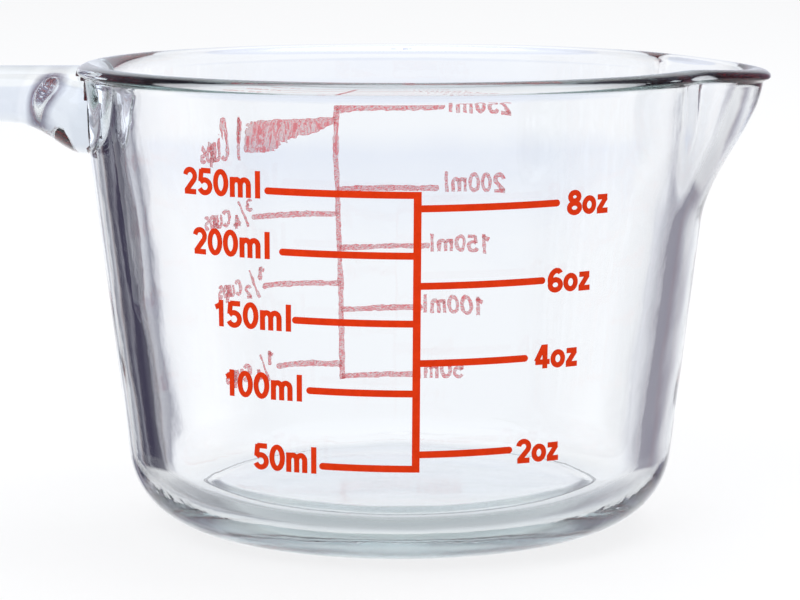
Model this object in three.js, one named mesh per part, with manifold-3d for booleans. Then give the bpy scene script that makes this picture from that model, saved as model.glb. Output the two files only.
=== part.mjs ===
// Pressed-glass measuring cup: one glass body with a rim bead, a pouring spout and an open handle,
// and two enamel scales fired on the outside of its wall. Millimetres, +Z up. The cup stands on Z = 0
// with its axis on Z, the handle on -X, the spout on +X and the front scale facing -Y.
import * as THREE from "three";
import { mergeVertices } from "three/addons/utils/BufferGeometryUtils.js";
import Module from "manifold-3d";

// Bowl
const cupHeight = 71.05; // base to the crest of the rim
const wallFootRadius = 40.3; // outer wall carried down to the base plane
const wallDraft = 0.119; // outward lean of the outer wall, mm per mm of height
const wallThickness = 4.6; // at the base plane
const cavityDraft = 0.124; // lean of the inner wall, a little more than the outer for the plunger
const floorThickness = 6.1; // round the raised disc
const floorFillet = 7; // inside corner between floor and wall
const discRadius = 28.2; // the plunger's face leaves a low disc on the floor
const discRise = 0.8;
const discEdge = 1.6; // width of the disc's sloping edge
const baseFlatRadius = 25.4; // the flat that the cup stands on
const heelHeight = 11.5; // where the heel curve leaves the wall
const heelWallPull = 0.62; // how long the heel follows the wall, and the base, before it turns
const heelBasePull = 0.59;

// Rim
const crestRise = 1.3; // from the widest point of the bead up to the crest
const beadRadius = 49; // widest point of the bead, at the foot of the crest
const beadFall = 0.95; // from the widest point down to the neck
const lipRadius = 46.7; // where the rim is highest
const flareDepth = 2.4; // over which the inner wall rolls out to the crest
const neckRadius = 47.96; // of the neck, just below the bead
const neckDraft = 0.021; // the neck is nearly upright
const collarLength = 3.2; // straight part of the neck
const neckBend = 4.4; // over which the wall turns into the neck
const roundPull = 0.55; // pull of a curve that comes close to a quarter round

// Spout
const spoutReach = 7.5; // how far the lip stands out past the rim
const spoutHalfAngle = 27; // degrees on each side of +X
const spoutDepth = 24; // from the lip down to where the wall is round again
const spoutDip = 0.9; // how far the lip lies below the crest

// Handle, an open hook that springs from the rim
const handleReach = 34; // from the neck to the outer side of the grip
const handleLength = 47; // from the top of the arm down to the free end
const handleWidth = 13; // along Y
const handleThickness = 8.6;
const handleTopDrop = 0.6; // top of the arm below the crest
const handleCorner = 13; // bend radius on the centre line
const handleLean = 5; // how far the free end comes back towards the bowl
const rootLength = 6; // over which the arm swells into the wall
const rootWidthSwell = 5; // growth of the half width at the wall
const rootDepthSwell = 2.4; // growth of the half thickness, all of it downwards

// Enamel scales. A mark's level follows from the volume that the cavity holds.
const enamelThickness = 0.25;
const enamelGap = 0.1; // between the enamel and the glass, and between a mark and its spine
const markStroke = 1;
const spineWidth = 1.1;
const frontAzimuth = 3; // degrees from -Y towards +X
const backAzimuth = 194;
const scaleDrop = 1.9; // the print is set below the level that holds its volume
const ounce = 29.5735; // millilitres
const cup = 236.588;
// name, millilitres, length from the middle of the spine
const frontMetric = [
  ["50ml", 50, 13.8],
  ["100ml", 100, 15.7],
  ["150ml", 150, 17.8],
  ["200ml", 200, 19.7],
  ["250ml", 250, 21.9],
];
const frontOunces = [
  ["2oz", 2 * ounce, 14.1],
  ["4oz", 4 * ounce, 16.3],
  ["6oz", 6 * ounce, 18.8],
  ["8oz", 8 * ounce, 20.9],
];
const backMetric = [
  ["50ml", 50, 12.7],
  ["100ml", 100, 14.8],
  ["150ml", 150, 16.2],
  ["200ml", 200, 18],
  ["250ml", 250, 19.6],
];
const backCups = [
  ["quarter_cup", cup / 4, 12.6],
  ["half_cup", cup / 2, 15],
  ["three_quarter_cup", (cup * 3) / 4, 17.2],
  ["one_cup", cup, 18],
];

// Facets
const turnSteps = 72;
const curveSteps = 5;
const wallSteps = 5;
const gripSteps = 24;
const gripSides = 16;
const tipSteps = 5;
const markStep = 4; // degrees

const glass = new THREE.MeshStandardMaterial({
  color: 0xe4f0ee,
  roughness: 0.04,
  metalness: 0,
  transparent: true,
  opacity: 0.4,
});
const enamel = new THREE.MeshStandardMaterial({ color: 0xd63c10, roughness: 0.35, metalness: 0 });

const wasm = await Module();
wasm.setup();

const beadLevel = cupHeight - crestRise;
const neckTop = beadLevel - beadFall;
const collarFoot = neckTop - collarLength;
const neckFoot = collarFoot - neckBend;
const flareFoot = cupHeight - flareDepth;
const cavityFootRadius = wallFootRadius - wallThickness;

function wallRadius(z) {
  return wallFootRadius + wallDraft * z;
}

function cavityRadius(z) {
  return cavityFootRadius + cavityDraft * z;
}

function straightTo(path, x, y, steps) {
  const from = path.currentPoint.clone();
  for (let i = 1; i <= steps; i++) {
    path.lineTo(THREE.MathUtils.lerp(from.x, x, i / steps), THREE.MathUtils.lerp(from.y, y, i / steps));
  }
}

// Outside of the section, from the middle of the base up to the widest point of the bead
function outerPath() {
  const path = new THREE.Path();
  const heelRadius = wallRadius(heelHeight);
  const heelDrop = heelHeight * heelWallPull;
  const baseRun = (heelRadius - baseFlatRadius) * heelBasePull;
  const collarRadius = neckRadius - neckDraft * collarLength;
  const neckPull = neckBend / 3;
  const beadPull = beadFall / 2;
  path.moveTo(0, 0);
  path.lineTo(baseFlatRadius, 0);
  path.bezierCurveTo(
    baseFlatRadius + baseRun,
    0,
    wallRadius(heelHeight - heelDrop),
    heelHeight - heelDrop,
    heelRadius,
    heelHeight,
  );
  straightTo(path, wallRadius(neckFoot), neckFoot, wallSteps);
  path.bezierCurveTo(
    wallRadius(neckFoot + neckPull),
    neckFoot + neckPull,
    collarRadius - neckDraft * neckPull,
    collarFoot - neckPull,
    collarRadius,
    collarFoot,
  );
  path.lineTo(neckRadius, neckTop);
  path.bezierCurveTo(
    neckRadius + neckDraft * beadPull,
    neckTop + beadPull,
    beadRadius,
    beadLevel - beadPull,
    beadRadius,
    beadLevel,
  );
  return path;
}

// Inside of the section, from the foot of the flare down to the middle of the floor
function innerPath() {
  const path = new THREE.Path();
  const lean = Math.atan(cavityDraft);
  const turnLevel = floorThickness + floorFillet;
  const turnRadius = cavityRadius(turnLevel) - floorFillet / Math.cos(lean);
  const tangentLevel = turnLevel - floorFillet * Math.sin(lean);
  const discTop = floorThickness + discRise;
  path.moveTo(cavityRadius(flareFoot), flareFoot);
  straightTo(path, cavityRadius(tangentLevel), tangentLevel, wallSteps);
  path.absarc(turnRadius, turnLevel, floorFillet, -lean, -Math.PI / 2, true);
  path.lineTo(discRadius + discEdge / 2, floorThickness);
  path.bezierCurveTo(discRadius, floorThickness, discRadius, discTop, discRadius - discEdge / 2, discTop);
  path.lineTo(0, discTop);
  return path;
}

// Over the rim: a tight turn outside, then a roll down to the inner wall
function crestPath() {
  const inner = cavityRadius(flareFoot);
  const fall = flareDepth * roundPull;
  const path = new THREE.Path();
  path.moveTo(beadRadius, beadLevel);
  path.bezierCurveTo(
    beadRadius,
    beadLevel + crestRise * roundPull,
    THREE.MathUtils.lerp(lipRadius, beadRadius, roundPull),
    cupHeight,
    lipRadius,
    cupHeight,
  );
  path.bezierCurveTo(
    THREE.MathUtils.lerp(lipRadius, inner, roundPull),
    cupHeight,
    cavityRadius(flareFoot + fall),
    flareFoot + fall,
    inner,
    flareFoot,
  );
  return path;
}

const wallProfile = outerPath().getPoints(curveSteps);
const cavityProfile = innerPath().getPoints(curveSteps).reverse();

// Radius of the outside at a level, wall and neck alike
function outerRadius(z) {
  const above = wallProfile.findIndex((point, i) => i > 1 && point.y >= z);
  const low = wallProfile[above - 1];
  const high = wallProfile[above];
  return THREE.MathUtils.lerp(low.x, high.x, (z - low.y) / (high.y - low.y));
}

// Level at which the cavity holds a volume, from the cone slices of its profile
function fillLevel(millilitres) {
  let left = millilitres * 1000;
  for (let i = 1; i < cavityProfile.length; i++) {
    const low = cavityProfile[i - 1];
    const high = cavityProfile[i];
    const rise = high.y - low.y;
    const slice = (Math.PI / 3) * rise * (low.x ** 2 + low.x * high.x + high.x ** 2);
    if (left <= slice) {
      let share = left / slice;
      for (let k = 0; k < curveSteps; k++) {
        const r = THREE.MathUtils.lerp(low.x, high.x, share);
        share = left / ((Math.PI / 3) * rise * (low.x ** 2 + low.x * r + r ** 2));
      }
      return low.y + share * rise;
    }
    left -= slice;
  }
  return Infinity;
}

function printLevel(millilitres) {
  return fillLevel(millilitres) - scaleDrop;
}

function toSolid(geometry) {
  geometry.deleteAttribute("normal");
  geometry.deleteAttribute("uv");
  const merged = mergeVertices(geometry);
  const corners = merged.index.array;
  const faces = [];
  for (let i = 0; i < corners.length; i += 3) {
    const [a, b, c] = corners.slice(i, i + 3);
    if (a !== b && b !== c && c !== a) faces.push(a, b, c);
  }
  return new wasm.Manifold(
    new wasm.Mesh({
      numProp: 3,
      vertProperties: merged.attributes.position.array,
      triVerts: new Uint32Array(faces),
    }),
  );
}

function toGeometry(solid) {
  const made = solid.getMesh();
  const geometry = new THREE.BufferGeometry();
  geometry.setAttribute("position", new THREE.BufferAttribute(made.vertProperties, 3));
  geometry.setIndex(new THREE.BufferAttribute(made.triVerts, 1));
  geometry.computeVertexNormals();
  return geometry;
}

// Closed skin over a row of rings that turn counter-clockwise about the way the row runs
function loft(rings) {
  const sides = rings[0].length;
  const end = (rings.length - 1) * sides;
  const faces = [];
  for (let i = 0; i + 1 < rings.length; i++) {
    for (let j = 0; j < sides; j++) {
      const a = i * sides + j;
      const b = i * sides + ((j + 1) % sides);
      faces.push(a, b, b + sides, a, b + sides, a + sides);
    }
  }
  for (let j = 1; j + 1 < sides; j++) {
    faces.push(0, j + 1, j, end, end + j, end + j + 1);
  }
  const geometry = new THREE.BufferGeometry().setFromPoints(rings.flat());
  geometry.setIndex(faces);
  geometry.computeVertexNormals();
  return geometry;
}

// The bowl is a revolve, drawn out at the spout
function bowl() {
  const section = [
    ...wallProfile,
    ...crestPath().getPoints(curveSteps).slice(1),
    ...innerPath().getPoints(curveSteps).slice(1),
  ];
  const geometry = new THREE.LatheGeometry(section, turnSteps);
  geometry.rotateX(Math.PI / 2);
  const place = geometry.attributes.position;
  const half = THREE.MathUtils.degToRad(spoutHalfAngle);
  for (let i = 0; i < place.count; i++) {
    const x = place.getX(i);
    const y = place.getY(i);
    const z = place.getZ(i);
    const turn = Math.min(Math.abs(Math.atan2(y, x)) / half, 1);
    const rise = THREE.MathUtils.smoothstep(z, cupHeight - spoutDepth, cupHeight);
    const pull = rise * (1 - turn ** 2) ** 2;
    const radius = Math.hypot(x, y);
    if (radius > cavityFootRadius) {
      const grow = 1 + (spoutReach * pull) / radius;
      place.setXYZ(i, x * grow, y * grow, z - spoutDip * pull);
    }
  }
  return toSolid(geometry);
}

// The handle is a loft along a bent centre line. It starts inside the wall and ends in a round tip.
function handle() {
  const half = handleThickness / 2;
  const level = cupHeight - handleTopDrop - half;
  const start = -(neckRadius + cavityRadius(level)) / 2;
  const outer = -(neckRadius + handleReach - half);
  const tip = cupHeight - handleTopDrop - handleLength;
  const line = new THREE.CurvePath();
  const bendStart = new THREE.Vector3(outer + handleCorner, 0, level);
  const bendCorner = new THREE.Vector3(outer, 0, level);
  const bendEnd = new THREE.Vector3(outer, 0, level - handleCorner);
  const low = new THREE.Vector3(outer + handleLean, 0, tip);
  const knee = new THREE.Vector3(outer, 0, (bendEnd.z + tip) / 2);
  line.add(new THREE.LineCurve3(new THREE.Vector3(start, 0, level), bendStart));
  line.add(new THREE.QuadraticBezierCurve3(bendStart, bendCorner, bendEnd));
  line.add(new THREE.QuadraticBezierCurve3(bendEnd, knee, low));
  const length = line.getLength();
  const rootAt = neckRadius + start;
  const across = new THREE.Vector3(0, 1, 0);
  const tipAt = 1 - half / length;
  const stations = [];
  for (let i = 0; i < gripSteps; i++) stations.push((tipAt * i) / gripSteps);
  for (let i = 0; i < tipSteps; i++) {
    stations.push(tipAt + (1 - tipAt) * Math.sin((Math.PI / 2) * (i / tipSteps)));
  }
  const rings = stations.map((at) => {
    const centre = line.getPointAt(at);
    const along = line.getTangentAt(at);
    const down = new THREE.Vector3().crossVectors(along, across);
    const clear = Math.max(at * length - rootAt, 0) / rootLength;
    const swell = Math.exp(-(clear ** 2));
    const past = Math.max((at - tipAt) / (1 - tipAt), 0);
    const round = Math.sqrt(1 - past ** 2);
    const wide = (handleWidth / 2 + rootWidthSwell * swell) * round;
    const deep = (half + rootDepthSwell * swell) * round;
    centre.addScaledVector(down, rootDepthSwell * swell);
    return Array.from({ length: gripSides }, (_, k) => {
      const angle = (2 * Math.PI * k) / gripSides;
      return centre
        .clone()
        .addScaledVector(across, wide * Math.cos(angle))
        .addScaledVector(down, deep * Math.sin(angle));
    });
  });
  return toSolid(loft(rings));
}

// A point on the wall, or out from it, at an azimuth from -Y towards +X
function onWall(azimuth, z, out) {
  const r = outerRadius(z) + out;
  return new THREE.Vector3(r * Math.sin(azimuth), -r * Math.cos(azimuth), z);
}

const enamelIn = enamelGap;
const enamelOut = enamelGap + enamelThickness;

// A mark runs round the wall from beside its spine to a round free end; way is 1 or -1
function mark(spine, way, level, length) {
  const r = outerRadius(level);
  const half = markStroke / 2;
  const begin = spineWidth / 2 + enamelGap;
  const bodyEnd = length - half;
  const steps = Math.ceil(THREE.MathUtils.radToDeg((bodyEnd - begin) / r) / markStep);
  const stations = [];
  for (let i = 0; i <= steps; i++) {
    stations.push([THREE.MathUtils.lerp(begin, bodyEnd, i / steps), half]);
  }
  for (const angle of [30, 55, 75]) {
    const turn = THREE.MathUtils.degToRad(angle);
    stations.push([bodyEnd + half * Math.sin(turn), half * Math.cos(turn)]);
  }
  const rings = stations.map(([run, tall]) => {
    const azimuth = spine + (way * run) / r;
    return [
      onWall(azimuth, level - tall, enamelIn),
      onWall(azimuth, level + tall, enamelIn),
      onWall(azimuth, level + tall, enamelOut),
      onWall(azimuth, level - tall, enamelOut),
    ];
  });
  return loft(way > 0 ? rings : rings.reverse());
}

function spineStrip(spine, low, high) {
  const bends = wallProfile.map((point) => point.y).filter((z) => z > low && z < high);
  return loft(
    [low, ...bends, high].map((z) => {
      const half = spineWidth / 2 / outerRadius(z);
      return [
        onWall(spine + half, z, enamelIn),
        onWall(spine - half, z, enamelIn),
        onWall(spine - half, z, enamelOut),
        onWall(spine + half, z, enamelOut),
      ];
    }),
  );
}

function addMesh(group, name, geometry, material) {
  const mesh = new THREE.Mesh(geometry, material);
  mesh.name = name;
  group.add(mesh);
}

// A spine with metric marks on one side and marks of the other unit on the other side, up to the bead
function addScale(group, side, azimuth, metric, other) {
  const spine = THREE.MathUtils.degToRad(azimuth);
  const rows = [
    ...metric.map(([name, volume, length]) => ({ name, level: printLevel(volume), length, way: -1 })),
    ...other.map(([name, volume, length]) => ({ name, level: printLevel(volume), length, way: 1 })),
  ].filter((row) => row.level + markStroke / 2 < beadLevel);
  const levels = rows.map((row) => row.level);
  const low = Math.min(...levels) - markStroke / 2;
  const high = Math.max(...levels) + markStroke / 2;
  addMesh(group, `${side}_spine`, spineStrip(spine, low, high), enamel);
  for (const row of rows) {
    addMesh(group, `${side}_${row.name}_mark`, mark(spine, row.way, row.level, row.length), enamel);
  }
}

const measuringCup = new THREE.Group();
addMesh(measuringCup, "glass_cup", toGeometry(bowl().add(handle())), glass);

const frontScale = new THREE.Group();
addScale(frontScale, "front", frontAzimuth, frontMetric, frontOunces);
measuringCup.add(frontScale);

const backScale = new THREE.Group();
addScale(backScale, "back", backAzimuth, backMetric, backCups);
measuringCup.add(backScale);

export default measuringCup;
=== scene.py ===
import math

import bpy
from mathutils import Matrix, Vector


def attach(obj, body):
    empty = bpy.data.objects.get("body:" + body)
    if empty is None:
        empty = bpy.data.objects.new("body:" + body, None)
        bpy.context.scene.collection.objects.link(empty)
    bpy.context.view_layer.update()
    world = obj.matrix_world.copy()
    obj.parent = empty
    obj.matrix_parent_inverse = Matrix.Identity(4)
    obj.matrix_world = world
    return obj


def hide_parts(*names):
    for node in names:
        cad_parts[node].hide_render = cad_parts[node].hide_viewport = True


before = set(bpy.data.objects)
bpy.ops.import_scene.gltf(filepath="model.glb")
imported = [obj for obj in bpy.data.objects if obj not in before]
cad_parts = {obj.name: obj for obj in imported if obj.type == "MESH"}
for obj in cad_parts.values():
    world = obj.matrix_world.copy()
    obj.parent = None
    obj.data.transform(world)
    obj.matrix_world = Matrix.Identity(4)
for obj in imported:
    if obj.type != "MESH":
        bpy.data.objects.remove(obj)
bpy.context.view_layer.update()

scene = bpy.context.scene
mm = 0.001
print("frame loaded:", len(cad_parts), "nodes")


# small helpers for meshes and nodes

def addObject(name, points, faces, material):
    mesh = bpy.data.meshes.new(name)
    mesh.from_pydata([(x * mm, y * mm, z * mm) for x, y, z in points], [], faces)
    mesh.validate()
    obj = bpy.data.objects.new(name, mesh)
    scene.collection.objects.link(obj)
    mesh.materials.append(material)
    return obj


def smooth(obj):
    obj.data.polygons.foreach_set("use_smooth", [True] * len(obj.data.polygons))
    obj.data.update()


def newMaterial(name):
    mat = bpy.data.materials.new(name)
    mat.use_nodes = True
    nodes = mat.node_tree.nodes
    return mat, nodes, mat.node_tree.links, nodes["Principled BSDF"]


# a socket takes a number, a colour or another socket
def feed(links, socket, value):
    if isinstance(value, tuple):
        socket.default_value = (*value, 1)
    elif isinstance(value, (int, float)):
        socket.default_value = value
    else:
        links.new(value, socket)


def noiseNode(nodes, links, coords, scale, detail, rough=0.5):
    node = nodes.new("ShaderNodeTexNoise")
    node.inputs["Scale"].default_value = scale
    node.inputs["Detail"].default_value = detail
    node.inputs["Roughness"].default_value = rough
    links.new(coords, node.inputs["Vector"])
    return node.outputs["Fac"]


def rampNode(nodes, links, fac, stops):
    node = nodes.new("ShaderNodeValToRGB")
    ramp = node.color_ramp
    ramp.elements[0].position, ramp.elements[0].color = stops[0][0], (*stops[0][1], 1)
    ramp.elements[1].position, ramp.elements[1].color = stops[-1][0], (*stops[-1][1], 1)
    for place, colour in stops[1:-1]:
        ramp.elements.new(place).color = (*colour, 1)
    links.new(fac, node.inputs["Fac"])
    return node.outputs["Color"]


def rangeNode(nodes, links, value, low, high, start=0, end=1):
    node = nodes.new("ShaderNodeMapRange")
    node.inputs["From Min"].default_value = start
    node.inputs["From Max"].default_value = end
    node.inputs["To Min"].default_value = low
    node.inputs["To Max"].default_value = high
    links.new(value, node.inputs["Value"])
    return node.outputs[0]


def mathNode(nodes, links, kind, *values):
    node = nodes.new("ShaderNodeMath")
    node.operation = kind
    for socket, value in zip(node.inputs, values):
        feed(links, socket, value)
    return node.outputs[0]


def mixNode(nodes, links, kind, fac, a, b):
    node = nodes.new("ShaderNodeMix")
    node.data_type = "RGBA"
    node.blend_type = kind
    for place, value in zip((0, 6, 7), (fac, a, b)):    # the colour sockets come after the plain ones
        feed(links, node.inputs[place], value)
    return node.outputs[2]


def bumpNode(nodes, links, height, depth, strength=1, under=None):
    node = nodes.new("ShaderNodeBump")
    node.inputs["Distance"].default_value = depth
    feed(links, node.inputs["Strength"], strength)
    links.new(height, node.inputs["Height"])
    if under is not None:
        links.new(under, node.inputs["Normal"])
    return node.outputs["Normal"]


# the glass: pressed soda-lime, a little wavy, faint green in the thick parts

glassLook = {
    "ior": 1.5,
    "tint": (0.09, 0.31, 0.25),
    "density": 6.0,         # per metre; the long way through the base goes grey-green
    "waveScale": 70.0,      # per metre
    "waveDepth": 0.00012,
    "rippleScale": 420.0,
    "rippleDepth": 0.000006,
    "hazeScale": 160.0,
    "haze": 0.012,
    "heelScale": 150.0,     # the mould left the heel uneven
    "heelGrain": 0.55,
    "heelDepth": 0.00015,
    "heelBand": (0.0045, 0.0060),
    "heelFrom": (0.027, 0.033),
    "floorStart": (0.0050, 0.0055),     # the floor came off the plunger a little dull
    "floorEnd": (0.0075, 0.0085),
    "floorRough": 0.13,
}


def clearGlass():
    mat, nodes, links, shader = newMaterial("clear_glass")
    look = glassLook
    coords = nodes.new("ShaderNodeTexCoord").outputs["Object"]
    shader.inputs["Base Color"].default_value = (1, 1, 1, 1)
    shader.inputs["Transmission Weight"].default_value = 1
    shader.inputs["IOR"].default_value = look["ior"]

    split = nodes.new("ShaderNodeSeparateXYZ")
    links.new(coords, split.inputs[0])
    level = split.outputs["Z"]
    flat = nodes.new("ShaderNodeMapping")
    flat.inputs["Scale"].default_value = (1, 1, 0)
    links.new(coords, flat.inputs["Vector"])
    reach = nodes.new("ShaderNodeVectorMath")
    reach.operation = "LENGTH"
    links.new(flat.outputs[0], reach.inputs[0])
    outer = rangeNode(nodes, links, reach.outputs["Value"], 0, 1, *look["heelFrom"])

    # a faint haze all over, and the dull floor
    above = rangeNode(nodes, links, level, 0, 1, *look["floorStart"])
    under = rangeNode(nodes, links, level, 1, 0, *look["floorEnd"])
    inner = mathNode(nodes, links, "SUBTRACT", 1, outer)
    dull = mathNode(nodes, links, "MULTIPLY", inner, mathNode(nodes, links, "MULTIPLY", above, under))
    cloud = noiseNode(nodes, links, coords, look["hazeScale"], 3)
    haze = rangeNode(nodes, links, cloud, 0, look["haze"])
    rough = mathNode(nodes, links, "MULTIPLY_ADD", dull, look["floorRough"], haze)
    links.new(rough, shader.inputs["Roughness"])

    # slow waves, a fine ripple, and the lumps of the heel over both
    wave = noiseNode(nodes, links, coords, look["waveScale"], 1)
    ripple = noiseNode(nodes, links, coords, look["rippleScale"], 2)
    lumps = noiseNode(nodes, links, coords, look["heelScale"], 3, look["heelGrain"])
    low = rangeNode(nodes, links, level, 1, 0, *look["heelBand"])
    inHeel = mathNode(nodes, links, "MULTIPLY", low, outer)
    slow = bumpNode(nodes, links, wave, look["waveDepth"])
    fine = bumpNode(nodes, links, ripple, look["rippleDepth"], under=slow)
    heel = bumpNode(nodes, links, lumps, look["heelDepth"], inHeel, fine)
    links.new(heel, shader.inputs["Normal"])

    body = nodes.new("ShaderNodeVolumeAbsorption")
    body.inputs["Color"].default_value = (*look["tint"], 1)
    body.inputs["Density"].default_value = look["density"]
    links.new(body.outputs["Volume"], nodes["Material Output"].inputs["Volume"])
    return mat


glassMat = clearGlass()


# the bowl, a revolve with a rim bead, drawn out at the spout; millimetres

bowl = {
    "height": 71.05,
    "wallFoot": 40.3, "wallDraft": 0.119,
    "cavityFoot": 35.7, "cavityDraft": 0.124,
    "floor": 6.1, "fillet": 7.0, "discRadius": 28.7, "discRise": 0.65, "discEdge": 4.0,
    "baseFlat": 25.4, "heel": 11.5, "heelWallPull": 0.62, "heelBasePull": 0.59,
    "crest": 1.3, "lip": 46.7, "flare": 2.4, "bead": 49.0, "beadFall": 0.95,
    "roundPull": 0.55,      # handles of a curve that is close to a quarter round
    "neck": 47.96, "neckDraft": 0.021, "neckBend": 4.4, "collar": 3.2,
    "spoutReach": 7.5, "spoutHalf": 27.0, "spoutDepth": 24.0, "spoutDip": 0.9,
    "turns": 288,
}
bowlSteps = {
    "base": 6, "heel": 24, "wall": 32, "neck": 16, "collar": 4, "bead": 10, "crest": 14, "flare": 24,
    "cavity": 40, "fillet": 20, "floor": 2, "discEdge": 8, "disc": 8,
}
beadLevel = bowl["height"] - bowl["crest"]
neckTop = beadLevel - bowl["beadFall"]
collarFoot = neckTop - bowl["collar"]
neckFoot = collarFoot - bowl["neckBend"]


def wallRadius(z):
    return bowl["wallFoot"] + bowl["wallDraft"] * z


def cavityRadius(z):
    return bowl["cavityFoot"] + bowl["cavityDraft"] * z


def bezier(a, b, c, d, steps):
    made = []
    for i in range(1, steps + 1):
        t = i / steps
        k = ((1 - t) ** 3, 3 * t * (1 - t) ** 2, 3 * t * t * (1 - t), t ** 3)
        made.append(tuple(sum(w * p[n] for w, p in zip(k, (a, b, c, d))) for n in (0, 1)))
    return made


def straight(a, b, steps):
    return [(a[0] + (b[0] - a[0]) * i / steps, a[1] + (b[1] - a[1]) * i / steps)
            for i in range(1, steps + 1)]


def arc(middle, radius, start, end, steps):
    turns = [math.radians(start + (end - start) * i / steps) for i in range(1, steps + 1)]
    return [(middle[0] + radius * math.cos(t), middle[1] + radius * math.sin(t)) for t in turns]


# over the rim: a tight turn outside, then the cavity flares out to meet it
def crestLine():
    top, low = bowl["height"], bowl["height"] - bowl["flare"]
    lip, inner = bowl["lip"], cavityRadius(low)
    bend = bowl["roundPull"]
    line = bezier((bowl["bead"], beadLevel), (bowl["bead"], beadLevel + bowl["crest"] * bend),
                  (lip + (bowl["bead"] - lip) * bend, top), (lip, top), bowlSteps["crest"])
    fall = bowl["flare"] * bend
    return line + bezier(line[-1], (lip - (lip - inner) * bend, top),
                         (cavityRadius(low + fall), low + fall), (inner, low), bowlSteps["flare"])


def bowlSection():
    heel = bowl["heel"]
    low = heel - heel * bowl["heelWallPull"]
    run = (wallRadius(heel) - bowl["baseFlat"]) * bowl["heelBasePull"]
    section = [(0.0, 0.0)] + straight((0, 0), (bowl["baseFlat"], 0), bowlSteps["base"])
    section += bezier(section[-1], (bowl["baseFlat"] + run, 0), (wallRadius(low), low),
                      (wallRadius(heel), heel), bowlSteps["heel"])
    section += straight(section[-1], (wallRadius(neckFoot), neckFoot), bowlSteps["wall"])
    pull = bowl["neckBend"] / 3
    collar = bowl["neck"] - bowl["neckDraft"] * bowl["collar"]
    section += bezier(section[-1], (wallRadius(neckFoot + pull), neckFoot + pull),
                      (collar - bowl["neckDraft"] * pull, collarFoot - pull), (collar, collarFoot),
                      bowlSteps["neck"])
    section += straight(section[-1], (bowl["neck"], neckTop), bowlSteps["collar"])
    dip = bowl["beadFall"] / 2
    section += bezier(section[-1], (bowl["neck"] + bowl["neckDraft"] * dip, neckTop + dip),
                      (bowl["bead"], beadLevel - dip), (bowl["bead"], beadLevel), bowlSteps["bead"])
    section += crestLine()
    lean = math.atan(bowl["cavityDraft"])
    turnLevel = bowl["floor"] + bowl["fillet"]
    turnRadius = cavityRadius(turnLevel) - bowl["fillet"] / math.cos(lean)
    tangent = turnLevel - bowl["fillet"] * math.sin(lean)
    section += straight(section[-1], (cavityRadius(tangent), tangent), bowlSteps["cavity"])
    section += arc((turnRadius, turnLevel), bowl["fillet"], -math.degrees(lean), -90, bowlSteps["fillet"])
    top, edge = bowl["floor"] + bowl["discRise"], bowl["discEdge"]
    section += straight(section[-1], (bowl["discRadius"] + edge / 2, bowl["floor"]), bowlSteps["floor"])
    section += bezier(section[-1], (bowl["discRadius"], bowl["floor"]), (bowl["discRadius"], top),
                      (bowl["discRadius"] - edge / 2, top), bowlSteps["discEdge"])
    section += straight(section[-1], (0, top), bowlSteps["disc"])
    return section


def drawSpout(x, y, z):
    turn = min(abs(math.atan2(y, x)) / math.radians(bowl["spoutHalf"]), 1)
    rise = min(max((z - bowl["height"] + bowl["spoutDepth"]) / bowl["spoutDepth"], 0), 1)
    pull = rise * rise * (3 - 2 * rise) * (1 - turn ** 2) ** 2
    radius = math.hypot(x, y)
    if radius <= bowl["cavityFoot"]:
        return x, y, z
    grow = 1 + bowl["spoutReach"] * pull / radius
    return x * grow, y * grow, z - bowl["spoutDip"] * pull


def revolve(section, turns):
    points, faces = [(0, 0, section[0][1])], []
    for r, z in section[1:-1]:
        for j in range(turns):
            a = 2 * math.pi * j / turns
            points.append(drawSpout(r * math.cos(a), r * math.sin(a), z))
    points.append((0, 0, section[-1][1]))
    rings = len(section) - 2
    last = len(points) - 1
    for j in range(turns):
        k = (j + 1) % turns
        faces.append((0, 1 + k, 1 + j))
        for i in range(rings - 1):
            a, b = 1 + i * turns, 1 + (i + 1) * turns
            faces.append((a + j, a + k, b + k, b + j))
        a = 1 + (rings - 1) * turns
        faces.append((a + j, a + k, last))
    return points, faces


# the open handle, a loft that swells into the wall

handle = {
    "reach": 34.0, "length": 47.0, "width": 13.0, "thickness": 8.6, "topDrop": 0.6,
    "corner": 13.0, "lean": 5.0, "rootLength": 6.0, "rootWide": 5.0, "rootDeep": 2.4,
    "rings": 90, "sides": 40, "tipRings": 12, "armSteps": 80, "bendSteps": 120,
}


def handleLine():
    half = handle["thickness"] / 2
    level = bowl["height"] - handle["topDrop"] - half
    start = -(bowl["neck"] + cavityRadius(level)) / 2
    outer = -(bowl["neck"] + handle["reach"] - half)
    tip = bowl["height"] - handle["topDrop"] - handle["length"]
    corner = handle["corner"]
    steps = handle["armSteps"]
    line = [Vector((start + (outer + corner - start) * i / steps, 0, level)) for i in range(steps)]

    def bend(a, b, c):
        steps = handle["bendSteps"]
        for i in range(steps):
            t = i / steps
            line.append(a * (1 - t) ** 2 + b * (2 * t * (1 - t)) + c * t * t)

    end = Vector((outer, 0, level - corner))
    low = Vector((outer + handle["lean"], 0, tip))
    bend(Vector((outer + corner, 0, level)), Vector((outer, 0, level)), end)
    bend(end, Vector((outer, 0, (end.z + tip) / 2)), low)
    line.append(low)
    return line, start, half


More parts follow.
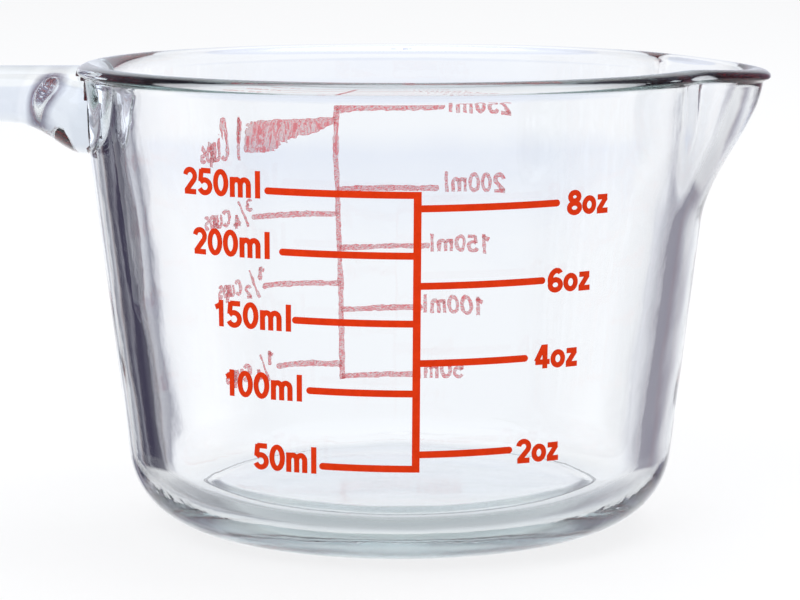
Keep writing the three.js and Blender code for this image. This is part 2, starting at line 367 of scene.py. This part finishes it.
def handleLoft():
    line, start, half = handleLine()
    runs = [0.0]
    for a, b in zip(line, line[1:]):
        runs.append(runs[-1] + (b - a).length)
    length = runs[-1]
    tipAt = 1 - half / length
    stations = [tipAt * i / handle["rings"] for i in range(handle["rings"])]
    for i in range(handle["tipRings"]):
        stations.append(tipAt + (1 - tipAt) * math.sin(math.pi / 2 * i / handle["tipRings"]))
    across = Vector((0, 1, 0))
    points, faces = [], []
    for at in stations:
        run = at * length
        i = max(k for k in range(len(runs) - 1) if runs[k] <= run)
        along = (line[i + 1] - line[i]).normalized()
        centre = line[i] + along * (run - runs[i])
        down = along.cross(across)
        clear = max(run - bowl["neck"] - start, 0) / handle["rootLength"]
        swell = math.exp(-clear ** 2)
        past = max((at - tipAt) / (1 - tipAt), 0)
        rounding = math.sqrt(1 - past ** 2)
        wide = (handle["width"] / 2 + handle["rootWide"] * swell) * rounding
        deep = (half + handle["rootDeep"] * swell) * rounding
        centre = centre + down * (handle["rootDeep"] * swell)
        for k in range(handle["sides"]):
            a = 2 * math.pi * k / handle["sides"]
            points.append(centre + across * (wide * math.cos(a)) + down * (deep * math.sin(a)))
    sides = handle["sides"]
    for i in range(len(stations) - 1):
        for j in range(sides):
            a, b = i * sides + j, i * sides + (j + 1) % sides
            faces.append((a, b, b + sides, a + sides))
    faces.append(tuple(range(sides))[::-1])
    faces.append(tuple(range(len(points) - sides, len(points))))
    return points, faces


def joinGlass():
    cup = addObject("glass_body", *revolve(bowlSection(), bowl["turns"]), glassMat)
    grip = addObject("grip", *handleLoft(), glassMat)
    join = cup.modifiers.new("join", "BOOLEAN")
    join.operation = "UNION"
    join.solver = "MANIFOLD"
    join.object = grip
    bpy.context.view_layer.update()
    made = bpy.data.meshes.new_from_object(cup.evaluated_get(bpy.context.evaluated_depsgraph_get()))
    cup.modifiers.clear()
    cup.data = made
    bpy.data.objects.remove(grip)
    smooth(cup)
    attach(cup, "root")
    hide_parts("glass_cup")
    return cup


cup = joinGlass()
print("glass:", len(cup.data.polygons), "faces")


# enamel, screen printed and fired: orange-red outside; the underside against the glass gets a lighter,
# pinker red, whose extra lightness is painted light making up for the dim light that reaches it through
# the glass

enamelLook = {
    "face": ((0.62, 0.030, 0.002), (0.70, 0.038, 0.004)),
    "faceRough": (0.38, 0.55),
    # lighter and pinker than the outside: the extra lightness is painted light, for the dim light that
    # reaches the underside through the glass
    "back": ((0.95, 0.05, 0.06), (0.98, 0.16, 0.18)),
    "backRough": (0.6, 0.8),
    "shine": 0.05,
    "grain": 900.0,             # per metre
    "grainRough": 0.6,
    "grainTones": (0.32, 0.68),
    "grainDepth": 0.00001,
    "grainStrength": 0.5,
    "open": 0.6,                # how much of the light behind the underside comes through
    "through": ((1.0, 0.22, 0.25), (1.0, 0.90, 0.91)),      # its colour in the specks and between them
    "specks": 2400.0,
    "speckTones": (0.40, 0.58),
    "speckStretch": (1, 1, 2.4),
    "skin": (-0.03, 0.08),      # inner and outer side of the film, from the glass
}


def enamel(name, colours, rough):
    mat, nodes, links, shader = newMaterial(name)
    coords = nodes.new("ShaderNodeTexCoord").outputs["Object"]
    cloud = noiseNode(nodes, links, coords, enamelLook["grain"], 4, enamelLook["grainRough"])
    tone = rampNode(nodes, links, cloud, list(zip(enamelLook["grainTones"], colours)))
    links.new(tone, shader.inputs["Base Color"])
    links.new(rangeNode(nodes, links, cloud, *rough), shader.inputs["Roughness"])
    shader.inputs["Specular IOR Level"].default_value = enamelLook["shine"]
    bump = bumpNode(nodes, links, cloud, enamelLook["grainDepth"], enamelLook["grainStrength"])
    links.new(bump, shader.inputs["Normal"])
    return mat


def partlyClear(mat):
    nodes, links = mat.node_tree.nodes, mat.node_tree.links
    mix = nodes.new("ShaderNodeMixShader")
    clear = nodes.new("ShaderNodeBsdfTransparent")
    links.new(nodes["Principled BSDF"].outputs[0], mix.inputs[1])
    links.new(clear.outputs[0], mix.inputs[2])
    links.new(mix.outputs[0], nodes["Material Output"].inputs["Surface"])
    return nodes, links, mix.inputs[0], clear.inputs["Color"]


def oneSided(mat):
    nodes, links, share = partlyClear(mat)[:3]
    links.new(nodes.new("ShaderNodeNewGeometry").outputs["Backfacing"], share)


# the underside did not wet the glass everywhere: fine specks, drawn out round the wall
def speckle(mat):
    nodes, links, share, colour = partlyClear(mat)
    share.default_value = enamelLook["open"]
    flat = nodes.new("ShaderNodeMapping")
    flat.inputs["Scale"].default_value = enamelLook["speckStretch"]
    links.new(nodes.new("ShaderNodeTexCoord").outputs["Object"], flat.inputs["Vector"])
    cloud = noiseNode(nodes, links, flat.outputs[0], enamelLook["specks"], 3, enamelLook["grainRough"])
    tone = rampNode(nodes, links, cloud, list(zip(enamelLook["speckTones"], enamelLook["through"])))
    links.new(tone, colour)


faceMat = enamel("red_enamel", enamelLook["face"], enamelLook["faceRough"])
oneSided(faceMat)
backMat = enamel("red_enamel_back", enamelLook["back"], enamelLook["backRough"])
speckle(backMat)


def onWall(run, z, out, azimuth):
    turn = math.radians(azimuth) + run / wallRadius(z)
    r = wallRadius(z) + out
    return r * math.sin(turn), -r * math.cos(turn), z


# a print is a set of strips; each strip is a row of (left, right) points on the unrolled wall
def printObject(name, strips, azimuth, nodesReplaced=()):
    points, faces, inside = [], [], []
    low, high = enamelLook["skin"]
    for strip in strips:
        base = len(points)
        for left, right in strip:
            points += [onWall(*left, high, azimuth), onWall(*right, high, azimuth),
                       onWall(*right, low, azimuth), onWall(*left, low, azimuth)]
        for i in range(len(strip) - 1):
            a = base + 4 * i
            for j in range(4):
                k = (j + 1) % 4
                faces.append((a + j, a + k, a + 4 + k, a + 4 + j))
                inside.append(j == 2)
        end = base + 4 * (len(strip) - 1)
        faces += [(base + 3, base + 2, base + 1, base), (end, end + 1, end + 2, end + 3)]
        inside += [False, False]
    obj = addObject(name, points, faces, faceMat)
    obj.data.materials.append(backMat)
    for polygon, hidden in zip(obj.data.polygons, inside):
        polygon.material_index = 1 if hidden else 0
    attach(obj, "root")
    if nodesReplaced:
        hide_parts(*nodesReplaced)


def ribbon(path, width):
    strip = []
    closed = path[0] == path[-1]
    for i, (x, y) in enumerate(path):
        before, after = path[max(i - 1, 0)], path[min(i + 1, len(path) - 1)]
        if closed and i in (0, len(path) - 1):
            before, after = path[-2], path[1]
        dx, dy = after[0] - before[0], after[1] - before[1]
        size = math.hypot(dx, dy)
        nx, ny = -dy / size * width / 2, dx / size * width / 2
        strip.append(((x + nx, y + ny), (x - nx, y - ny)))
    return strip


# the scales: a spine with a row of lines to each side; level and length in millimetres

scales = {
    "front": {
        "azimuth": 3.0,
        "left": {"50ml": (16.1, 13.8), "100ml": (27.1, 15.7), "150ml": (37.2, 17.8),
                 "200ml": (46.9, 19.7), "250ml": (55.5, 21.9)},
        "right": {"2oz": (18.2, 14.1), "4oz": (31.5, 16.3), "6oz": (42.6, 18.8), "8oz": (53.6, 20.9)},
    },
    "back": {
        "azimuth": 194.0,
        "left": {"50ml": (16.1, 12.7), "100ml": (27.1, 14.8), "150ml": (37.2, 16.2),
                 "200ml": (46.9, 18.0), "250ml": (55.5, 19.6)},
        "right": {"quarter_cup": (18.2, 12.6), "half_cup": (31.5, 15.0),
                  "three_quarter_cup": (42.6, 17.2), "one_cup": (53.9, 18.0)},
    },
}
stroke = {
    "front": (1.0, 1.1), "back": (0.92, 0.9),       # line and spine widths
    "rise": 0.012,      # the lines climb a little outwards
    "steps": 36, "capSteps": 6, "tip": 0.02, "spineSteps": 30,
}


def lineStrip(way, level, length, width):
    half = width / 2
    body = length - half
    steps, capSteps = stroke["steps"], stroke["capSteps"]
    runs = [(body * i / steps, half) for i in range(steps + 1)]
    for i in range(1, capSteps + 1):
        turn = math.pi / 2 * i / capSteps
        runs.append((body + half * math.sin(turn), max(half * math.cos(turn), stroke["tip"])))
    strip = []
    for run, tall in runs:
        middle = level + stroke["rise"] * run
        pair = ((way * run, middle + tall), (way * run, middle - tall))
        strip.append(pair if way > 0 else pair[::-1])
    return strip


def printScale(side):
    data = scales[side]
    rows = [(-1, *row) for row in data["left"].values()] + [(1, *row) for row in data["right"].values()]
    line, spine = stroke[side]
    strips = [lineStrip(*row, line) for row in rows]
    levels = [row[1] for row in rows]
    low, high = min(levels) - line / 2, max(levels) + line / 2
    steps = stroke["spineSteps"]
    strips.append(ribbon([(0, low + (high - low) * i / steps) for i in range(steps + 1)], spine))
    names = [f"{side}_{name}_mark" for name in [*data["left"], *data["right"]]] + [f"{side}_spine"]
    printObject(f"{side}_scale", strips, data["azimuth"], names)


for side in scales:
    printScale(side)
print("scales printed")


# lettering, drawn as pen strokes in a box one cap height tall

def loop(x, y, rx, ry, start=0, end=360, steps=28):
    turns = [math.radians(start + (end - start) * i / steps) for i in range(steps + 1)]
    made = [(x + rx * math.cos(t), y + ry * math.sin(t)) for t in turns]
    if end - start == 360:
        made[-1] = made[0]
    return made


def pen(*points, steps=6):
    made = [points[0]]
    for a, b in zip(points, points[1:]):
        made += straight(a, b, steps)
    return made


# glyph: advance width, then its strokes
glyphs = {
    "0": (0.66, [loop(0.33, 0.5, 0.215, 0.405)]),
    "1": (0.56, [pen((0.33, 0), (0.33, 1.0)), pen((0.36, 0.90), (0.24, 0.78), (0.09, 0.71))]),
    "2": (0.66, [loop(0.325, 0.68, 0.215, 0.225, 172, -22, 20)
                 + pen((0.50, 0.54), (0.17, 0.15), (0.14, 0.095)),
                 pen((0.07, 0.095), (0.58, 0.095))]),
    "3": (0.66, [loop(0.30, 0.715, 0.205, 0.19, 165, -90, 20),
                 loop(0.30, 0.295, 0.235, 0.205, 90, -165, 22)]),
    "4": (0.66, [pen((0.43, 0), (0.43, 1.0)), pen((0.38, 0.95), (0.07, 0.30)),
                 pen((0.03, 0.275), (0.63, 0.275))]),
    "5": (0.66, [pen((0.57, 0.905), (0.17, 0.905)), pen((0.18, 0.95), (0.13, 0.50)),
                 loop(0.31, 0.325, 0.23, 0.235, 142, -158, 26)]),
    "6": (0.66, [loop(0.33, 0.305, 0.22, 0.21), loop(0.43, 0.50, 0.325, 0.405, 190, 92, 18)
                 + loop(0.37, 0.72, 0.17, 0.185, 82, 20, 8)]),
    "8": (0.66, [loop(0.33, 0.735, 0.185, 0.175), loop(0.33, 0.285, 0.225, 0.195)]),
    "m": (0.98, [pen((0.14, 0), (0.14, 0.74)),
                 loop(0.30, 0.46, 0.155, 0.19, 165, 0, 14) + pen((0.455, 0.46), (0.455, 0)),
                 loop(0.615, 0.46, 0.155, 0.19, 165, 0, 14) + pen((0.77, 0.46), (0.77, 0))]),
    "l": (0.30, [pen((0.14, 0), (0.14, 1.0))]),
    "o": (0.66, [loop(0.33, 0.37, 0.215, 0.275)]),
    "z": (0.58, [pen((0.06, 0.655), (0.51, 0.655)), pen((0.45, 0.62), (0.11, 0.12)),
                 pen((0.04, 0.085), (0.54, 0.085))]),
    "C": (0.78, [loop(0.42, 0.5, 0.295, 0.405, 42, 318, 30)]),
    "u": (0.66, [pen((0.13, 0.74), (0.13, 0.28)) + loop(0.325, 0.28, 0.195, 0.19, 180, 360, 16)[1:],
                 pen((0.52, 0.74), (0.52, 0))]),
    "p": (0.68, [pen((0.14, -0.25), (0.14, 0.74)), loop(0.345, 0.37, 0.20, 0.275)]),
    "s": (0.56, [loop(0.28, 0.515, 0.165, 0.135, 25, 270, 16)
                 + loop(0.28, 0.225, 0.175, 0.145, 90, -155, 18)]),
}


def textWidth(text):
    return sum(glyphs[c][0] for c in text)


def textStrips(text, x, y, wide, tall, weight):
    strips = []
    fit = wide / textWidth(text)
    for c in text:
        advance, strokes = glyphs[c]
        for path in strokes:
            strips.append(ribbon([(x + px * fit, y + py * tall) for px, py in path], weight))
        x += advance * fit
    return strips


# text: left end from the middle of the spine, foot, width and cap height, all on the unrolled wall
letters = {
    "front": {
        "250ml": (-35.9, 54.6, 13.6, 3.9), "200ml": (-34.3, 46.0, 13.4, 3.9),
        "150ml": (-30.7, 35.7, 13.0, 3.9), "100ml": (-29.0, 25.6, 12.9, 3.9),
        "50ml": (-24.1, 15.1, 10.1, 3.9),
        "8oz": (22.1, 52.0, 7.4, 3.5), "6oz": (19.2, 41.0, 7.4, 3.5), "4oz": (17.4, 30.0, 7.3, 3.5),
        "2oz": (14.7, 16.3, 7.1, 3.5),
    },
    "back": {
        "250ml": (-32.2, 54.9, 12.2, 3.3), "200ml": (-30.5, 46.5, 11.5, 3.3),
        "150ml": (-27.7, 36.3, 11.6, 3.2), "100ml": (-25.9, 26.4, 11.3, 3.1),
        "50ml": (-21.9, 15.6, 8.7, 3.1),
        "1": (18.6, 52.4, 1.3, 3.0),
    },
}
# measures of a cup: parts of the fraction, left end and foot; the word follows the fraction
cupWords = {
    "rows": {"": (18.6, 52.4), "34": (16.9, 41.5), "12": (14.6, 30.2), "14": (13.3, 16.4)},
    "tall": 3.0, "wordAt": 5.0, "wordAfterOne": 3.3, "wordWide": 6.5,
    "upper": (0.0, 2.4, 1.5, 2.3), "lower": (2.7, -0.4, 1.5, 2.3), "slash": ((1.0, -0.3), (3.1, 4.4)),
    "digitWeight": 0.85,    # the small digits are a little thinner
}
letterWeight = {"front": 0.78, "back": 0.62, "slash": 0.42}


def cupStrips(digits, x, y):
    weight, size = letterWeight["back"], cupWords
    at = x + (size["wordAt"] if digits else size["wordAfterOne"])
    strips = textStrips("Cups", at, y, size["wordWide"], size["tall"], weight)
    for digit, (dx, dy, wide, tall) in zip(digits, (size["upper"], size["lower"])):
        strips += textStrips(digit, x + dx, y + dy, wide, tall, weight * size["digitWeight"])
    if digits:
        slash = pen(*[(x + dx, y + dy) for dx, dy in size["slash"]])
        strips.append(ribbon(slash, letterWeight["slash"]))
    return strips


for side, texts in letters.items():
    strips = []
    for text, place in texts.items():
        strips += textStrips(text, *place, letterWeight[side])
    if side == "back":
        for digits, place in cupWords["rows"].items():
            strips += cupStrips(digits, *place)
    printObject(f"{side}_numbers", strips, scales[side]["azimuth"])
print("lettering printed")


# white sweep and soft lamps; the glass itself looks into a studio that is darker at both sides

studio = {
    "floorColour": (0.86, 0.87, 0.89),
    "floorDim": 0.99,       # the darker side of its grain
    "floorGrain": 60.0, "floorTones": (0.3, 0.7),
    "floorRough": 0.8,
    "floorShine": 0.2,
    "floorGlow": 0.8,       # how far it goes to plain white for the camera
    "floorReach": 4000.0, "floorDrop": 0.15, "floorSides": 48,
    # place, size and power
    "key": ((-0.5, -0.9, 1.1), 0.9, 7.0),
    "top": ((0.3, 0.3, 1.3), 1.1, 9.0),
    "aim": (0, 0, 0.035),
    "fill": (0.74, 0.75, 0.78),     # what lights the enamel and the floor from all round
    # degrees from straight ahead, and what is there
    "round": [(-90, (0.90, 0.92, 0.98)), (-64, (0.80, 0.82, 0.88)), (-53, (0.050, 0.045, 0.080)),
              (-37.5, (0.055, 0.050, 0.085)), (-36, (0.20, 0.20, 0.25)), (-34.8, (0.20, 0.20, 0.25)),
              (-33.3, (0.055, 0.050, 0.085)), (-28.3, (0.060, 0.050, 0.080)), (-27, (0.22, 0.14, 0.15)),
              (-25, (0.50, 0.50, 0.56)), (-22.5, (0.37, 0.37, 0.44)), (-20.5, (0.20, 0.20, 0.26)),
              (-19.5, (0.22, 0.22, 0.28)), (-18, (0.76, 0.77, 0.84)), (-16.5, (1.10, 1.11, 1.15)),
              (-9, (1.09, 1.10, 1.13)), (-5, (0.97, 0.99, 1.03)), (5, (0.97, 0.99, 1.03)),
              (9, (1.06, 1.07, 1.10)), (17.5, (1.06, 1.07, 1.10)), (20, (0.88, 0.89, 0.94)),
              (22.5, (0.73, 0.73, 0.79)), (25, (0.60, 0.60, 0.66)), (28, (0.42, 0.41, 0.48)),
              (31, (0.32, 0.30, 0.37)), (34, (0.27, 0.24, 0.30)), (36, (0.27, 0.22, 0.27)),
              (39, (0.27, 0.26, 0.32)), (46, (0.28, 0.27, 0.33)), (62, (0.80, 0.82, 0.88)),
              (90, (0.90, 0.92, 0.98))],
    # how much of that is left lower down, where the white table takes over
    "table": (0.97, 0.98, 1.0),
    "fade": [(-50, 0.0), (-43, 0.5), (-34, 0.5), (-29, 0.4), (-26, 0.25), (-20.5, 0.25), (-17.5, 1.0)],
    # shelves at both sides, above the table: what stands on them, and where they are
    "shelves": [(0.34, (0.95, 0.97, 1.05)), (0.39, (0.45, 0.44, 0.58)), (0.43, (0.07, 0.07, 0.12)),
                (0.48, (0.35, 0.34, 0.47)), (0.52, (0.36, 0.12, 0.10)), (0.56, (0.10, 0.10, 0.15)),
                (0.62, (0.75, 0.76, 0.88))],
    "shelfGrain": 16.0, "shelfRough": 0.6,
    "shelfUp": [(-4, 0.0), (0, 1.0), (34, 1.0), (44, 0.0)],
    "shelfRound": [(-125, 0.0), (-110, 1.0), (-34, 1.0), (-26, 0.0),
                   (26, 0.0), (34, 1.0), (110, 1.0), (125, 0.0)],
    # all of it is dimmed or lifted from straight down to straight up
    "height": [(-90, (0.52, 0.56, 0.57)), (-65, (0.50, 0.54, 0.56)), (-48, (0.58, 0.61, 0.63)),
               (-34, (0.82, 0.84, 0.86)), (-20, (1, 1, 1)), (-7.5, (1, 1, 1)),
               (-5.5, (0.86, 0.885, 0.95)), (12, (0.86, 0.885, 0.95)), (38, (1, 1, 1)),
               (52, (1.5, 1.55, 1.68)), (90, (1.5, 1.55, 1.68))],
}


def addFloor():
    mat, nodes, links, shader = newMaterial("white_sweep")
    coords = nodes.new("ShaderNodeTexCoord").outputs["Object"]
    grain = noiseNode(nodes, links, coords, studio["floorGrain"], 4)
    pale = studio["floorColour"]
    low = tuple(c * studio["floorDim"] for c in pale)
    tone = rampNode(nodes, links, grain, list(zip(studio["floorTones"], (low, pale))))
    links.new(tone, shader.inputs["Base Color"])
    shader.inputs["Roughness"].default_value = studio["floorRough"]
    shader.inputs["Specular IOR Level"].default_value = studio["floorShine"]
    glow = nodes.new("ShaderNodeEmission")
    path = nodes.new("ShaderNodeLightPath")
    share = mathNode(nodes, links, "MULTIPLY", path.outputs["Is Camera Ray"], studio["floorGlow"])
    mix = nodes.new("ShaderNodeMixShader")
    links.new(share, mix.inputs[0])
    links.new(shader.outputs[0], mix.inputs[1])
    links.new(glow.outputs[0], mix.inputs[2])
    links.new(mix.outputs[0], nodes["Material Output"].inputs["Surface"])
    reach, sides = studio["floorReach"], studio["floorSides"]
    turns = [2 * math.pi * k / sides for k in range(sides)]
    ring = [(reach * math.cos(a), reach * math.sin(a), -studio["floorDrop"]) for a in turns]
    floor = addObject("floor", ring, [tuple(range(sides))], mat)
    floor.visible_transmission = False
    floor.visible_glossy = False


def addLamp(name, place, size, power):
    data = bpy.data.lights.new(name, "AREA")
    data.shape = "DISK"
    data.size = size
    data.energy = power
    lamp = bpy.data.objects.new(name, data)
    lamp.location = place
    lamp.rotation_euler = (Vector(studio["aim"]) - lamp.location).to_track_quat("-Z", "Y").to_euler()
    lamp.visible_glossy = False     # the glass mirrors the studio, with no hot spots
    lamp.visible_transmission = False
    scene.collection.objects.link(lamp)


def addWorld():
    world = bpy.data.worlds.new("studio")
    scene.world = world
    world.use_nodes = True
    nodes, links = world.node_tree.nodes, world.node_tree.links
    coords = nodes.new("ShaderNodeTexCoord").outputs["Generated"]
    split = nodes.new("ShaderNodeSeparateXYZ")
    links.new(coords, split.inputs[0])
    x, y, z = split.outputs
    turn = mathNode(nodes, links, "ARCTAN2", x, y)
    across = mathNode(nodes, links, "MULTIPLY_ADD", turn, 1 / (2 * math.pi), 0.5)
    climb = mathNode(nodes, links, "ARCSINE", z)
    up = mathNode(nodes, links, "MULTIPLY_ADD", climb, 1 / math.pi, 0.5)

    # stops in degrees, each with a colour or a plain share
    def byAngle(fac, fullTurn, stops):
        colours = [value if isinstance(value, tuple) else (value,) * 3 for angle, value in stops]
        places = [angle / fullTurn + 0.5 for angle, value in stops]
        return rampNode(nodes, links, fac, list(zip(places, colours)))

    kept = byAngle(up, 180, studio["fade"])
    sides = mixNode(nodes, links, "MIX", kept, studio["table"], byAngle(across, 360, studio["round"]))
    blots = noiseNode(nodes, links, coords, studio["shelfGrain"], 3, studio["shelfRough"])
    shelves = rampNode(nodes, links, blots, studio["shelves"])
    tall = byAngle(up, 180, studio["shelfUp"])
    wide = byAngle(across, 360, studio["shelfRound"])
    inShelves = mathNode(nodes, links, "MULTIPLY", tall, wide)
    sides = mixNode(nodes, links, "MIX", inShelves, sides, shelves)
    room = mixNode(nodes, links, "MULTIPLY", 1.0, sides, byAngle(up, 180, studio["height"]))
    path = nodes.new("ShaderNodeLightPath")
    lit = mixNode(nodes, links, "MIX", path.outputs["Is Diffuse Ray"], room, studio["fill"])
    seen = mixNode(nodes, links, "MIX", path.outputs["Is Camera Ray"], lit, (1, 1, 1))
    links.new(seen, nodes["Background"].inputs["Color"])


addFloor()
addLamp("key", *studio["key"])
addLamp("top", *studio["top"])
addWorld()
scene.cycles.max_bounces = 24
scene.cycles.glossy_bounces = 16
scene.cycles.transmission_bounces = 24
print("studio ready")


# camera a little above the rim, straight on to the front scale

view = {"place": (0, -0.480, 0.1014), "down": 7.95, "lens": 141.75, "sensor": 36, "near": 0.01}


def addCamera():
    data = bpy.data.cameras.new("camera")
    data.sensor_width = view["sensor"]
    data.lens = view["lens"]
    data.clip_start = view["near"]
    camera = bpy.data.objects.new("camera", data)
    camera.location = view["place"]
    camera.rotation_euler = (math.radians(90 - view["down"]), 0, 0)
    scene.collection.objects.link(camera)
    scene.camera = camera


addCamera()
scene.view_settings.view_transform = "Standard"
